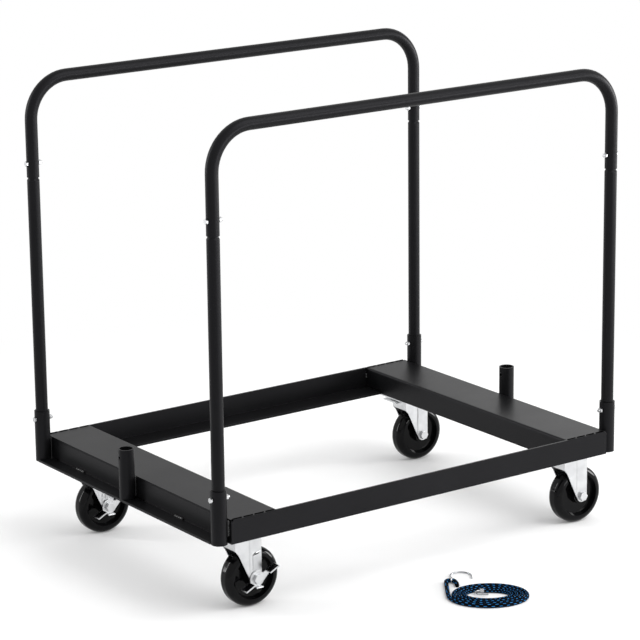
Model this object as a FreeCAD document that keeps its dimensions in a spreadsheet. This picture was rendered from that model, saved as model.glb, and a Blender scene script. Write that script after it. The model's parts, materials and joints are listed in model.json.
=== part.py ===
import FreeCAD, Part
import math
import os
import re

import Sketcher

doc = FreeCAD.newDocument("panel_cart")
dims = doc.addObject("Spreadsheet::Sheet", "dims")

# Driving dimensions in millimetres and degrees. The origin is on the floor under the middle of the
# cart, X runs along the side rails and Z points up.
driving = {
    # Base frame of rolled angle
    "frame_width": 730,
    "rail_length": 971.8,
    "rail_height": 51,
    "rail_leg": 63.5,
    "steel": 4.8,
    "seat_gap": 0.2,
    # Folded end decks
    "deck_sheet": 3,
    "deck_bend": 2,
    "deck_setback": 1,
    # Pipe sockets
    "socket_wall": 2.8,
    "socket_play": 0.55,
    "socket_height": 112.6,
    "socket_inset": 19.1,
    # Uprights and hoops
    "tube_outer": 26.7,
    "tube_wall": 2,
    "post_rise": 626.8,
    "post_lift": 6,
    "neck_gap": 2.5,
    "swage_length": 60,
    "swage_taper": 4,
    "swage_gap": 0.25,
    "hoop_rise": 223.3,
    "hoop_radius": 88,
    # Cross bolts of the uprights
    "hoop_bolt_rise": 30,
    "socket_bolt_drop": 18,
    "cross_bolt": 6,
    "cross_play": 0.6,
    "cross_shoulder": 2,
    "cross_head": 4,
    "cross_nut": 5,
    "cross_thread": 4,
    # Caster places and plates
    "caster_from_side": 78.2,
    "plate_side_gap": 2,
    "pad_margin": 4.85,
    "plate_long": 114.3,
    "plate_wide": 101.6,
    "plate_sheet": 5,
    "plate_corner": 8,
    "plate_edge_long": 11.15,
    "plate_edge_wide": 17.45,
    "plate_bolt": 8,
    "plate_play": 0.8,
    "plate_shoulder": 2.5,
    "plate_head": 5.3,
    "plate_nut": 6.5,
    "plate_thread": 3,
    # Swivel head
    "race_gap": 8,
    "race_outer": 64,
    "race_wall": 3,
    "race_play": 3.3,
    "kingpin": 12,
    "kingpin_head_step": 5,
    "kingpin_head_depth": 2.5,
    "kingpin_foot_step": 4,
    "kingpin_foot_depth": 5,
    "running_fit": 0.05,
    "swivel_gap": 0.3,
    # Stamped fork
    "trail": 34.7,
    "fork_sheet": 4,
    "fork_side_gap": 3.5,
    "wheel_clearance": 25.4,
    "fork_bend": 8,
    "leg_end": 13.5,
    "leg_slope": 25,
    "leg_step": 1.2,
    "step_run": 3,
    "crown_back": 43,
    "neck_back": 15,
    "neck_drop": 26.4,
    "neck_fall": 40.4,
    "neck_round": 43,
    # Wheel and axle
    "wheel_size": 127,
    "wheel_width": 38,
    "tread_round": 14,
    "rim_flat": 2.5,
    "rim_slope": 4,
    "web": 18,
    "hub": 40,
    "hub_slope": 2,
    "hub_side_gap": 0.8,
    "bush_wall": 1.9,
    "axle": 12,
    "axle_play": 0.2,
    "axle_shoulder": 3,
    "axle_head": 7,
    "axle_nut": 9,
    "axle_thread": 4,
    # Rocker brake lever
    "lever_sheet": 3,
    "lever_hub": 34,
    "lever_long": 49,
    "lever_short": 41.5,
    "lever_rise": 3,
    "web_long": 35,
    "web_short": 24,
    "web_tip": 8,
    "lever_tilt": 27,
    "pedal_long": 24,
    "pedal_wide": 17,
    # Elastic tie-down cord, coiled on the floor in front of the cart
    "cord": 9,
    "cord_space": 1.8,
    "coil_long": 84,
    "coil_short": 66,
    "coil_x": 16,
    "coil_y": -550,
    "coil_turn": -35,
    "fold_round": 11,
    "tail": 18,
    "lead": 76,
    "hook_wire": 3.6,
    "hook_rest": 0.4,
    "hook_shank": 24,
    "hook_bow": 22,
    "hook_tip": 16,
    "sleeve": 8,
    "inner_bow": 11,
}
coil_quarters = 15

# Places that follow from the driving dimensions
derived = {
    "wheel_radius": "wheel_size / 2",
    "crown_under": "wheel_size + wheel_clearance",
    "crown_top": "crown_under + fork_sheet",
    "plate_under": "crown_top + race_gap",
    "mount_height": "plate_under + plate_sheet",
    "frame_top": "mount_height + rail_height",
    "half_width": "frame_width / 2",
    "rail_end": "rail_length / 2",
    "end_face": "rail_end + steel",
    "socket_bore": "tube_outer + 2 * socket_play",
    "socket_outer": "socket_bore + 2 * socket_wall",
    "socket_x": "end_face + seat_gap + socket_outer / 2",
    "socket_y": "half_width - socket_inset",
    "socket_top": "mount_height + socket_height",
    "ledge_tip": "(sqrt(2) - 1) * socket_outer / 2",
    "ledge_root": "socket_y - socket_outer / 2 - 2 * seat_gap",
    "ledge_reach": "socket_y - ledge_tip - 2 * seat_gap",
    "leg_edge": "half_width - rail_leg",
    "deck_outer": "end_face - deck_setback",
    "deck_inner": "rail_end - plate_wide - 2 * plate_side_gap - deck_sheet",
    "post_top": "mount_height + post_rise",
    "hoop_foot": "post_top + neck_gap",
    "overall_height": "hoop_foot + hoop_rise",
    "hoop_axis": "overall_height - tube_outer / 2",
    "hoop_bolt_z": "hoop_foot + hoop_bolt_rise",
    "socket_bolt_z": "socket_top - socket_bolt_drop",
    "cross_hole": "cross_bolt + cross_play",
    "cross_flats": "cross_bolt + 2 * cross_shoulder",
    "caster_x": "rail_end - plate_side_gap - plate_wide / 2",
    "caster_y": "half_width - caster_from_side",
    "plate_pitch_long": "plate_long - 2 * plate_edge_long",
    "plate_pitch_wide": "plate_wide - 2 * plate_edge_wide",
    "plate_hole": "plate_bolt + plate_play",
    "plate_flats": "plate_bolt + 2 * plate_shoulder",
    "pad_inner": "plate_long / 2 + pad_margin",
    "ball": "race_gap - 2 * swivel_gap",
    "ball_circle": "race_outer - 2 * race_wall - 2 * race_play - ball",
    "kingpin_head": "kingpin + 2 * kingpin_head_step",
    "kingpin_foot": "kingpin + 2 * kingpin_foot_step",
    "fork_gap": "wheel_width + 2 * fork_side_gap",
    "leg_outer": "fork_gap / 2 + fork_sheet",
    "leg_back": "trail - leg_end",
    "heel_x": "trail - leg_end * cos(leg_slope * 1 deg)",
    "heel_z": "wheel_radius - leg_end * sin(leg_slope * 1 deg)",
    "neck_x": "heel_x - (crown_top - neck_fall - heel_z) * tan(leg_slope * 1 deg)",
    "rim_inner": "2 * (wheel_radius - tread_round - rim_flat)",
    "axle_hole": "axle + axle_play",
    "axle_flats": "axle + 2 * axle_shoulder",
    "bush": "axle_hole + 2 * bush_wall",
    "hub_width": "fork_gap - 2 * hub_side_gap",
    "lever_face": "leg_outer + swivel_gap + lever_sheet",
    "cord_pitch": "cord + cord_space",
    "tail_u": "2 * fold_round - coil_long",
    "fold_u": "fold_round - coil_long",
    "fold_v": "lead + fold_round",
    "arch": "cord / 2 + hook_wire / 2 + hook_rest",
    "hook_flare": "cord / 2 - hook_wire / 2",
    "hook_v": "fold_v + arch + hook_flare + hook_wire",
    "coil_end": f"coil_short - {coil_quarters} * cord_pitch / 4",
}

row = 0
for alias, size in list(driving.items()) + [(a, "=" + e) for a, e in derived.items()]:
    row += 1
    dims.set(f"A{row}", alias)
    dims.set(f"B{row}", str(size))
    dims.setAlias(f"B{row}", alias)
doc.recompute()
scratch_cell = f"D{row + 2}"
aliases = set(driving) | set(derived)


def number(text):
    """The value of an expression in the sheet's names."""
    dims.set(scratch_cell, "=" + text)
    dims.recompute()
    return float(dims.get(scratch_cell))


def bind(thing, prop, text):
    """Ties a property to an expression in the sheet's names."""
    full = re.sub(r"[a-z_]\w*", lambda w: "dims." + w[0] if w[0] in aliases else w[0], text)
    thing.setExpression(prop, full)


# Sketches and features


def new_body(name):
    return doc.addObject("PartDesign::Body", name)


def new_sketch(body, plane, name, height=None):
    s = body.newObject("Sketcher::SketchObject", name)
    s.AttachmentSupport = [(next(f for f in body.Origin.OriginFeatures if f.Role == plane), "")]
    s.MapMode = "FlatFace"
    if height:
        bind(s, "AttachmentOffset.Base.z", height)
    return s


def pin(s, edge, end, x, y):
    """Fixes a point of a sketch by its distances from the sketch's axes."""
    for kind, text, axis in (("DistanceX", x, -2), ("DistanceY", y, -1)):
        size = number(text)
        if abs(size) < 1e-9:
            s.addConstraint(Sketcher.Constraint("PointOnObject", edge, end, axis))
        else:
            at = s.addConstraint(Sketcher.Constraint(kind, -1, 1, edge, end, size))
            bind(s, f"Constraints[{at}]", text)


def ring_arc(start, end, radius, turn):
    """The shorter arc between two points; turn is 1 for a left turn and -1 for a right turn."""
    chord = end - start
    rise = math.sqrt(max(radius**2 - (chord.Length / 2) ** 2, 0))
    across = FreeCAD.Vector(-chord.y, chord.x, 0).normalize() * turn
    middle = (start + end) / 2
    crest = middle + across * (rise - radius)
    ends = (start, end) if turn > 0 else (end, start)
    return Part.Arc(ends[0], crest, ends[1])


def outline(s, corners, closed=True):
    """Draws lines, or arcs where a corner also gives a radius and a turn, from corner to corner."""
    spots = [FreeCAD.Vector(number(c[0]), number(c[1]), 0) for c in corners]
    drawn = []
    for i in range(0 if closed else 1, len(corners)):
        bend = corners[i][2:]
        if bend:
            edge = s.addGeometry(ring_arc(spots[i - 1], spots[i], number(bend[0]), bend[1]))
            at = s.addConstraint(Sketcher.Constraint("Radius", edge, number(bend[0])))
            bind(s, f"Constraints[{at}]", bend[0])
        else:
            edge = s.addGeometry(Part.LineSegment(spots[i - 1], spots[i]))
        first, last = (2, 1) if bend and bend[1] < 0 else (1, 2)
        pin(s, edge, last, *corners[i][:2])
        drawn.append((edge, first, last))
    for i, (edge, first, last) in enumerate(drawn):
        if i or closed:
            before = drawn[i - 1]
            s.addConstraint(Sketcher.Constraint("Coincident", edge, first, before[0], before[2]))
        else:
            pin(s, edge, first, *corners[0][:2])


def circle(s, x, y, radius):
    centre = FreeCAD.Vector(number(x), number(y), 0)
    edge = s.addGeometry(Part.Circle(centre, FreeCAD.Vector(0, 0, 1), number(radius)))
    pin(s, edge, 3, x, y)
    at = s.addConstraint(Sketcher.Constraint("Radius", edge, number(radius)))
    bind(s, f"Constraints[{at}]", radius)


def pad(body, profile, length, side="Symmetric"):
    f = body.newObject("PartDesign::Pad", profile.Name + "_pad")
    f.Profile = profile
    f.SideType = side
    bind(f, "Length", length)
    doc.recompute()
    return f


def pocket_through(body, profile):
    """Cuts a sketch right through the body, to both sides of the sketch."""
    before = body.Shape.Volume
    f = body.newObject("PartDesign::Pocket", profile.Name + "_pocket")
    f.Profile = profile
    f.SideType = "Symmetric"
    f.Type = "ThroughAll"
    doc.recompute()
    if not f.Shape.Volume < before - 1:
        raise RuntimeError(f"{f.Name} cut nothing")
    return f


def turned(name, corners):
    """A body turned about Z; the corners are radius and height."""
    body = new_body(name)
    s = new_sketch(body, "XZ_Plane", name + "_profile")
    outline(s, corners)
    f = body.newObject("PartDesign::Revolution", name + "_turned")
    f.Profile = s
    f.ReferenceAxis = (s, ["V_Axis"])
    f.Angle = 360
    doc.recompute()
    return body


def extruded(name, plane, corners, length):
    body = new_body(name)
    s = new_sketch(body, plane, name + "_profile")
    outline(s, corners)
    pad(body, s, length)
    return body


def pipe_along(name, plane, path, profile_plane, height, centre, radii):
    """A round bar or tube that follows an open path from its first point."""
    body = new_body(name)
    line = new_sketch(body, plane, name + "_path")
    outline(line, path, closed=False)
    ring = new_sketch(body, profile_plane, name + "_section", height)
    for radius in radii:
        circle(ring, *centre, radius)
    doc.recompute()
    f = body.newObject("PartDesign::AdditivePipe", name + "_pipe")
    f.Profile = ring
    f.Spine = (line, [f"Edge{i + 1}" for i in range(len(path) - 1)])
    doc.recompute()
    return body


# Solids and their placing

TURNS = {
    "z": FreeCAD.Rotation(),
    "x": FreeCAD.Rotation(FreeCAD.Vector(0, 1, 0), 90),
    "-x": FreeCAD.Rotation(FreeCAD.Vector(0, 1, 0), -90),
    "y": FreeCAD.Rotation(FreeCAD.Vector(1, 0, 0), -90),
    "-y": FreeCAD.Rotation(FreeCAD.Vector(1, 0, 0), 90),
}


def put(thing, x="0", y="0", z="0", along="z"):
    thing.Placement = FreeCAD.Placement(FreeCAD.Vector(), TURNS[along])
    for axis, text in zip("xyz", (x, y, z)):
        bind(thing, f"Placement.Base.{axis}", text)
    return thing


def rod(name, radius, length, *place):
    thing = doc.addObject("Part::Cylinder", name)
    bind(thing, "Radius", radius)
    bind(thing, "Height", length)
    return put(thing, *place)


def hexagon(name, flats, length, *place):
    thing = doc.addObject("Part::Prism", name)
    thing.Polygon = 6
    bind(thing, "Circumradius", f"({flats}) / sqrt(3)")
    bind(thing, "Height", length)
    return put(thing, *place)


def block(name, long, wide, tall, *place):
    thing = doc.addObject("Part::Box", name)
    for prop, text in (("Length", long), ("Width", wide), ("Height", tall)):
        bind(thing, prop, text)
    return put(thing, *place)


def joined(name, *things):
    thing = doc.addObject("Part::MultiFuse", name)
    thing.Shapes = list(things)
    return thing


def cut(name, base, *tools):
    for i, tool in enumerate(tools):
        thing = doc.addObject("Part::Cut", name if i == len(tools) - 1 else f"{name}_cut_{i + 1}")
        thing.Base = base
        thing.Tool = tool
        base = thing
    return base


def group(name, *things):
    thing = doc.addObject("Part::Compound", name)
    thing.Links = list(things)
    return thing


def copy_at(name, source, x="0", y="0", z="0"):
    return put(group(name, source), x, y, z)


def mirrored(name, source, normal):
    thing = doc.addObject("Part::Mirroring", name)
    thing.Source = source
    thing.Normal = normal
    return thing


acrossX = FreeCAD.Vector(1, 0, 0)
acrossY = FreeCAD.Vector(0, 1, 0)
nodes = []


def keep(thing, label=None):
    """Names a finished sub-part."""
    thing.Label = label or thing.Name
    nodes.append(thing)
    return thing


ends = {"left": "-", "right": ""}
sides = {"front": "-", "rear": ""}
corners_of_cart = [(f"{s}_{e}", ends[e], sides[s]) for s in sides for e in ends]

# Side rails: angle with its upright leg outside and its flat leg at the bottom, pointing inward

rail = extruded(
    "side_rail_front",
    "YZ_Plane",
    [
        ("-half_width", "mount_height"),
        ("-leg_edge", "mount_height"),
        ("-leg_edge", "mount_height + steel"),
        ("-half_width + steel", "mount_height + steel"),
        ("-half_width + steel", "frame_top"),
        ("-half_width", "frame_top"),
    ],
    "rail_length",
)
holes = new_sketch(rail, "XY_Plane", "rail_holes")
for end in ends.values():
    for step in ("-", "+"):
        x = f"{end}caster_x {step} plate_pitch_wide / 2"
        circle(holes, x, "-caster_y - plate_pitch_long / 2", "plate_hole / 2")
pocket_through(rail, holes)
keep(rail)
keep(mirrored("side_rail_rear", rail, acrossY))

# End angles: an upright face over the rail ends, and a ledge that carries the sockets

angle = extruded(
    "end_angle_right",
    "XZ_Plane",
    [
        ("rail_end", "mount_height"),
        ("end_face", "mount_height"),
        ("end_face", "frame_top - deck_sheet"),
        ("rail_end", "frame_top - deck_sheet"),
    ],
    "frame_width",
)
ledge = new_sketch(angle, "XY_Plane", "ledge_outline", "mount_height")
outline(
    ledge,
    [
        ("end_face", "-ledge_root"),
        ("socket_x + ledge_tip", "-ledge_root"),
        ("socket_x + socket_outer / 2", "-ledge_reach"),
        ("socket_x + socket_outer / 2", "ledge_reach"),
        ("socket_x + ledge_tip", "ledge_root"),
        ("end_face", "ledge_root"),
    ],
)
pad(angle, ledge, "steel", "One side")
keep(angle)
keep(mirrored("end_angle_left", angle, acrossX))

# End decks: a folded sheet that lies between the rails, with a flange down to the frame's bottom

deck = extruded(
    "deck_right",
    "XZ_Plane",
    [
        ("deck_inner", "mount_height"),
        ("deck_inner + deck_sheet", "mount_height"),
        ("deck_inner + deck_sheet", "frame_top - deck_sheet - deck_bend"),
        ("deck_inner + deck_sheet + deck_bend", "frame_top - deck_sheet", "deck_bend", -1),
        ("deck_outer", "frame_top - deck_sheet"),
        ("deck_outer", "frame_top"),
        ("deck_inner + deck_sheet + deck_bend", "frame_top"),
        ("deck_inner", "frame_top - deck_sheet - deck_bend", "deck_sheet + deck_bend", 1),
    ],
    "frame_width - 2 * steel - 2 * seat_gap",
)
notches = new_sketch(deck, "YZ_Plane", "deck_notches")
for side in sides.values():
    outline(
        notches,
        [
            (f"{side}(leg_edge - seat_gap)", "mount_height - steel"),
            (f"{side}half_width", "mount_height - steel"),
            (f"{side}half_width", "mount_height + steel + seat_gap"),
            (f"{side}(leg_edge - seat_gap)", "mount_height + steel + seat_gap"),
        ],
    )
pocket_through(deck, notches)
keep(deck)
keep(mirrored("deck_left", deck, acrossX))

# Caster pads: flat plates between the deck flange, the end angle and the rail's flat leg

pad_span = ("deck_inner + deck_sheet", "rail_end - deck_inner - deck_sheet")
pads = []
for name, end, side in corners_of_cart:
    slab = block(
        "pad_slab_" + name,
        pad_span[1],
        "leg_edge + pad_inner - caster_y",
        "steel",
        pad_span[0] if end == "" else "-rail_end",
        "caster_y - pad_inner" if side == "" else "-leg_edge",
        "mount_height",
    )
    drills = [
        rod(
            f"pad_drill_{name}_{i}",
            "plate_hole / 2",
            "3 * steel",
            f"{end}caster_x {step} plate_pitch_wide / 2",
            f"{side}(caster_y - plate_pitch_long / 2)",
            "mount_height - steel",
        )
        for i, step in enumerate("-+")
    ]
    pads.append(cut("pad_" + name, slab, *drills))
keep(group("caster_pads", *pads))


# Pipe sockets with a cross hole for the upright's bolt


def pipe_socket(name, foot, top):
    height = f"{top} - ({foot})"
    across = "2 * socket_outer"
    wall = rod(name + "_wall", "socket_outer / 2", height, "0", "0", foot)
    bore = rod(name + "_bore", "socket_bore / 2", f"{height} + 2 * steel", "0", "0", f"{foot} - steel")
    hole = rod(name + "_hole", "cross_hole / 2", across, "-socket_outer", "0", "socket_bolt_z", "x")
    return cut(name, wall, bore, hole)


corner_socket = pipe_socket("corner_socket", "mount_height", "socket_top")
centre_socket = pipe_socket("centre_socket", "mount_height + steel", "socket_top")
for name, end, side in corners_of_cart:
    keep(copy_at("corner_socket_" + name, corner_socket, end + "socket_x", side + "socket_y"))
for name, end in ends.items():
    keep(copy_at("centre_socket_" + name, centre_socket, end + "socket_x"))

# Lower posts: tube whose swaged top plugs into the hoop

post = turned(
    "lower_post",
    [
        ("tube_outer / 2 - tube_wall", "mount_height + post_lift"),
        ("tube_outer / 2", "mount_height + post_lift"),
        ("tube_outer / 2", "post_top - swage_taper"),
        ("tube_outer / 2 - tube_wall - swage_gap", "post_top"),
        ("tube_outer / 2 - tube_wall - swage_gap", "hoop_foot + swage_length"),
        ("tube_outer / 2 - 2 * tube_wall - swage_gap", "hoop_foot + swage_length"),
        ("tube_outer / 2 - 2 * tube_wall - swage_gap", "post_top"),
        ("tube_outer / 2 - tube_wall", "post_top - swage_taper - tube_wall"),
    ],
)
holes = new_sketch(post, "YZ_Plane", "post_holes")
circle(holes, "0", "socket_bolt_z", "cross_hole / 2")
circle(holes, "0", "hoop_bolt_z", "cross_hole / 2")
pocket_through(post, holes)
for name, end, side in corners_of_cart:
    keep(copy_at("lower_post_" + name, post, end + "socket_x", side + "socket_y"))

# Hoops: one bent tube over each long side

hoop = pipe_along(
    "hoop",
    "XZ_Plane",
    [
        ("-socket_x", "hoop_foot"),
        ("-socket_x", "hoop_axis - hoop_radius"),
        ("-socket_x + hoop_radius", "hoop_axis", "hoop_radius", -1),
        ("socket_x - hoop_radius", "hoop_axis"),
        ("socket_x", "hoop_axis - hoop_radius", "hoop_radius", -1),
        ("socket_x", "hoop_foot"),
    ],
    "XY_Plane",
    "hoop_foot",
    ("-socket_x", "0"),
    ("tube_outer / 2", "tube_outer / 2 - tube_wall"),
)
holes = new_sketch(hoop, "YZ_Plane", "hoop_holes")
circle(holes, "0", "hoop_bolt_z", "cross_hole / 2")
pocket_through(hoop, holes)
for name, side in sides.items():
    keep(copy_at("hoop_" + name, hoop, "0", side + "socket_y"))


# Cross bolts of the uprights, with the head on the outer side


def cross_fastening(name, height, pipe):
    """The four bolts and four nuts at one height, through pipes of one diameter."""
    reach = f"{pipe} / 2"
    grip = f"{pipe} + cross_nut + cross_thread"
    inside = "cross_bolt / 2 + running_fit"
    shank = rod(f"{name}_shank", "cross_bolt / 2", grip, f"-({reach})", "0", "0", "x")
    head = hexagon(f"{name}_head", "cross_flats", "cross_head", f"-({reach}) - cross_head", "0", "0", "x")
    bolt = joined(f"{name}_bolt", shank, head)
    disc = hexagon(f"{name}_nut_blank", "cross_flats", "cross_nut", reach, "0", "0", "x")
    bore = rod(f"{name}_nut_bore", inside, "3 * cross_nut", f"{reach} - cross_nut", "0", "0", "x")
    nut = cut(f"{name}_nut", disc, bore)
    for kind, source in (("bolts", bolt), ("nuts", nut)):
        pair = [
            copy_at(f"{name}_{kind}_{s}", source, "-socket_x", sides[s] + "socket_y", height) for s in sides
        ]
        left = group(f"{name}_{kind}_left", *pair)
        keep(group(f"{name}_{kind}", left, mirrored(f"{name}_{kind}_right", left, acrossX)))


cross_fastening("hoop", "hoop_bolt_z", "tube_outer")
cross_fastening("socket", "socket_bolt_z", "socket_outer")

# Caster plate, with a counterbore for the kingpin's head

plate = new_body("plate")
shape = new_sketch(plate, "XY_Plane", "plate_outline", "plate_under")
px, py, pc = "plate_wide / 2", "plate_long / 2", "plate_corner"
outline(
    shape,
    [
        (f"{px} - {pc}", f"-{py}"),
        (px, f"-{py} + {pc}", pc, 1),
        (px, f"{py} - {pc}"),
        (f"{px} - {pc}", py, pc, 1),
        (f"-{px} + {pc}", py),
        (f"-{px}", f"{py} - {pc}", pc, 1),
        (f"-{px}", f"-{py} + {pc}"),
        (f"-{px} + {pc}", f"-{py}", pc, 1),
    ],
)
for x in ("-plate_pitch_wide / 2", "plate_pitch_wide / 2"):
    for y in ("-plate_pitch_long / 2", "plate_pitch_long / 2"):
        circle(shape, x, y, "plate_hole / 2")
pad(plate, shape, "plate_sheet", "One side")
plate = cut(
    "caster_plate",
    plate,
    rod(
        "plate_bore",
        "kingpin / 2 + running_fit",
        "3 * plate_sheet",
        "0",
        "0",
        "plate_under - plate_sheet",
    ),
    rod(
        "plate_sink",
        "kingpin_head / 2 + running_fit",
        "2 * kingpin_head_depth",
        "0",
        "0",
        "mount_height - kingpin_head_depth",
    ),
)

kingpin = joined(
    "kingpin_whole",
    rod(
        "kingpin_shaft",
        "kingpin / 2",
        "mount_height - crown_under + swivel_gap",
        "0",
        "0",
        "crown_under - swivel_gap",
    ),
    rod(
        "kingpin_top",
        "kingpin_head / 2",
        "kingpin_head_depth",
        "0",
        "0",
        "mount_height - kingpin_head_depth",
    ),
    rod(
        "kingpin_end",
        "kingpin_foot / 2",
        "kingpin_foot_depth",
        "0",
        "0",
        "crown_under - swivel_gap - kingpin_foot_depth",
    ),
)

# Swivel race: a ring under the plate round the balls
race_ring = cut(
    "race_ring",
    rod(
        "race_blank",
        "race_outer / 2",
        "race_gap - 2 * swivel_gap",
        "0",
        "0",
        "crown_top + 2 * swivel_gap",
    ),
    rod("race_hole", "race_outer / 2 - race_wall", "3 * race_gap", "0", "0", "crown_top - race_gap"),
)
ball_count = 12
balls = []
for i in range(ball_count):
    ball = doc.addObject("Part::Sphere", f"ball_{i + 1}")
    bind(ball, "Radius", "ball / 2")
    angle_text = f"{360 * i / ball_count} deg"
    put(
        ball,
        f"ball_circle / 2 * cos({angle_text})",
        f"ball_circle / 2 * sin({angle_text})",
        "plate_under - race_gap / 2",
    )
    balls.append(ball)
ball_ring = group("ball_ring", *balls)

# Plate bolts come up through the plate, with their nuts on the frame
bolt_group, nut_group = [], []
for i, x in enumerate(("-plate_pitch_wide / 2", "plate_pitch_wide / 2")):
    for j, y in enumerate(("-plate_pitch_long / 2", "plate_pitch_long / 2")):
        grip = "plate_sheet + steel + plate_nut + plate_thread"
        shank = rod(f"plate_shank_{i}{j}", "plate_bolt / 2", grip, x, y, "plate_under")
        head = hexagon(f"plate_head_{i}{j}", "plate_flats", "plate_head", x, y, "plate_under - plate_head")
        bolt_group.append(joined(f"plate_bolt_{i}{j}", shank, head))
        top = "mount_height + steel"
        blank = hexagon(f"plate_nut_blank_{i}{j}", "plate_flats", "plate_nut", x, y, top)
        bore = rod(
            f"plate_nut_bore_{i}{j}",
            "plate_bolt / 2 + running_fit",
            "3 * plate_nut",
            x,
            y,
            f"{top} - plate_nut",
        )
        nut_group.append(cut(f"plate_nut_{i}{j}", blank, bore))
bolt_set = group("plate_bolt_set", *bolt_group)
nut_set = group("plate_nut_set", *nut_group)

# Fork: a strip bent down on both sides, trimmed to the leg's side outline, with an apron across its
# back; behind the upright leg the sheet steps inward
axle_z = "wheel_radius"
strip = extruded(
    "fork_strip",
    "YZ_Plane",
    [
        ("leg_outer", f"{axle_z} - 2 * leg_end"),
        ("leg_outer", "crown_top - fork_bend"),
        ("leg_outer - fork_bend", "crown_top", "fork_bend", 1),
        ("-leg_outer + fork_bend", "crown_top"),
        ("-leg_outer", "crown_top - fork_bend", "fork_bend", 1),
        ("-leg_outer", f"{axle_z} - 2 * leg_end"),
        ("-fork_gap / 2", f"{axle_z} - 2 * leg_end"),
        ("-fork_gap / 2", "crown_top - fork_bend"),
        ("-leg_outer + fork_bend", "crown_under", "fork_bend - fork_sheet", -1),
        ("leg_outer - fork_bend", "crown_under"),
        ("fork_gap / 2", "crown_top - fork_bend", "fork_bend - fork_sheet", -1),
        ("fork_gap / 2", f"{axle_z} - 2 * leg_end"),
    ],
    "4 * (trail + leg_end)",
)
side_view = extruded(
    "fork_side",
    "XZ_Plane",
    [
        ("heel_x", "heel_z"),
        ("trail", f"{axle_z} - leg_end", "leg_end", 1),
        ("trail + leg_end", axle_z, "leg_end", 1),
        ("trail + leg_end", "crown_top + fork_sheet"),
        ("-crown_back", "crown_top + fork_sheet"),
        ("-crown_back", "crown_under"),
        ("-neck_back", "crown_under"),
        ("-neck_back", "crown_top - neck_drop"),
        ("neck_x", "crown_top - neck_fall", "neck_round", -1),
    ],
    "4 * leg_outer",
)
legs = doc.addObject("Part::MultiCommon", "fork_legs")
legs.Shapes = [strip, side_view]
apron = block(
    "fork_apron",
    "fork_sheet",
    "fork_gap + fork_sheet / 2",
    "neck_drop - fork_sheet / 2",
    "-neck_back",
    "-(fork_gap + fork_sheet / 2) / 2",
    "crown_top - neck_drop",
)
step = extruded(
    "leg_step_cut",
    "XY_Plane",
    [
        ("-2 * crown_back", "leg_outer - leg_step"),
        ("leg_back - step_run", "leg_outer - leg_step"),
        ("leg_back", "leg_outer"),
        ("leg_back", "2 * leg_outer"),
        ("-2 * crown_back", "2 * leg_outer"),
    ],
    "2 * (crown_top - fork_bend)",
)
fork = cut(
    "fork",
    joined("fork_blank", legs, apron),
    step,
    mirrored("leg_step_other", step, acrossY),
    rod(
        "fork_bore",
        "kingpin / 2 + running_fit",
        "4 * fork_sheet",
        "0",
        "0",
        "crown_under - fork_sheet",
    ),
    rod("fork_axle_hole", "axle_hole / 2", "4 * leg_outer", "trail", "-2 * leg_outer", axle_z, "y"),
)

# Wheel: rounded tread, recessed web and hub, turned about its axle
wheel_profile = [
    ("bush / 2 + running_fit", "-hub_width / 2"),
    ("hub / 2 - hub_slope", "-hub_width / 2"),
    ("hub / 2", "-web / 2"),
    ("rim_inner / 2 - rim_slope", "-web / 2"),
    ("rim_inner / 2", "-wheel_width / 2"),
    ("wheel_radius - tread_round", "-wheel_width / 2"),
    ("wheel_radius", "-wheel_width / 2 + tread_round", "tread_round", 1),
    ("wheel_radius", "wheel_width / 2 - tread_round"),
    ("wheel_radius - tread_round", "wheel_width / 2", "tread_round", 1),
    ("rim_inner / 2", "wheel_width / 2"),
    ("rim_inner / 2 - rim_slope", "web / 2"),
    ("hub / 2", "web / 2"),
    ("hub / 2 - hub_slope", "hub_width / 2"),
    ("bush / 2 + running_fit", "hub_width / 2"),
]
wheel = put(turned("wheel", wheel_profile), "trail", "0", axle_z, "y")
bush = cut(
    "bush",
    rod("bush_blank", "bush / 2", "fork_gap", "trail", "-fork_gap / 2", axle_z, "y"),
    rod("bush_bore", "axle_hole / 2", "2 * fork_gap", "trail", "-fork_gap", axle_z, "y"),
)


def axle_set(name, near_face):
    """An axle bolt with its nut; near_face is how far out its head sits."""
    grip = f"{near_face} + leg_outer + axle_nut + axle_thread"
    bolt = joined(
        name + "_bolt",
        rod(name + "_shank", "axle / 2", grip, "trail", f"-({near_face})", axle_z, "y"),
        hexagon(
            name + "_head",
            "axle_flats",
            "axle_head",
            "trail",
            f"-({near_face}) - axle_head",
            axle_z,
            "y",
        ),
    )
    nut = cut(
        name + "_nut",
        hexagon(name + "_nut_blank", "axle_flats", "axle_nut", "trail", "leg_outer", axle_z, "y"),
        rod(
            name + "_nut_bore",
            "axle / 2 + running_fit",
            "3 * axle_nut",
            "trail",
            "leg_outer - axle_nut",
            axle_z,
            "y",
        ),
    )
    return group(name, bolt, nut)


plain_axle = axle_set("plain_axle", "leg_outer")
brake_axle = axle_set("brake_axle", "lever_face + swivel_gap")

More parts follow.
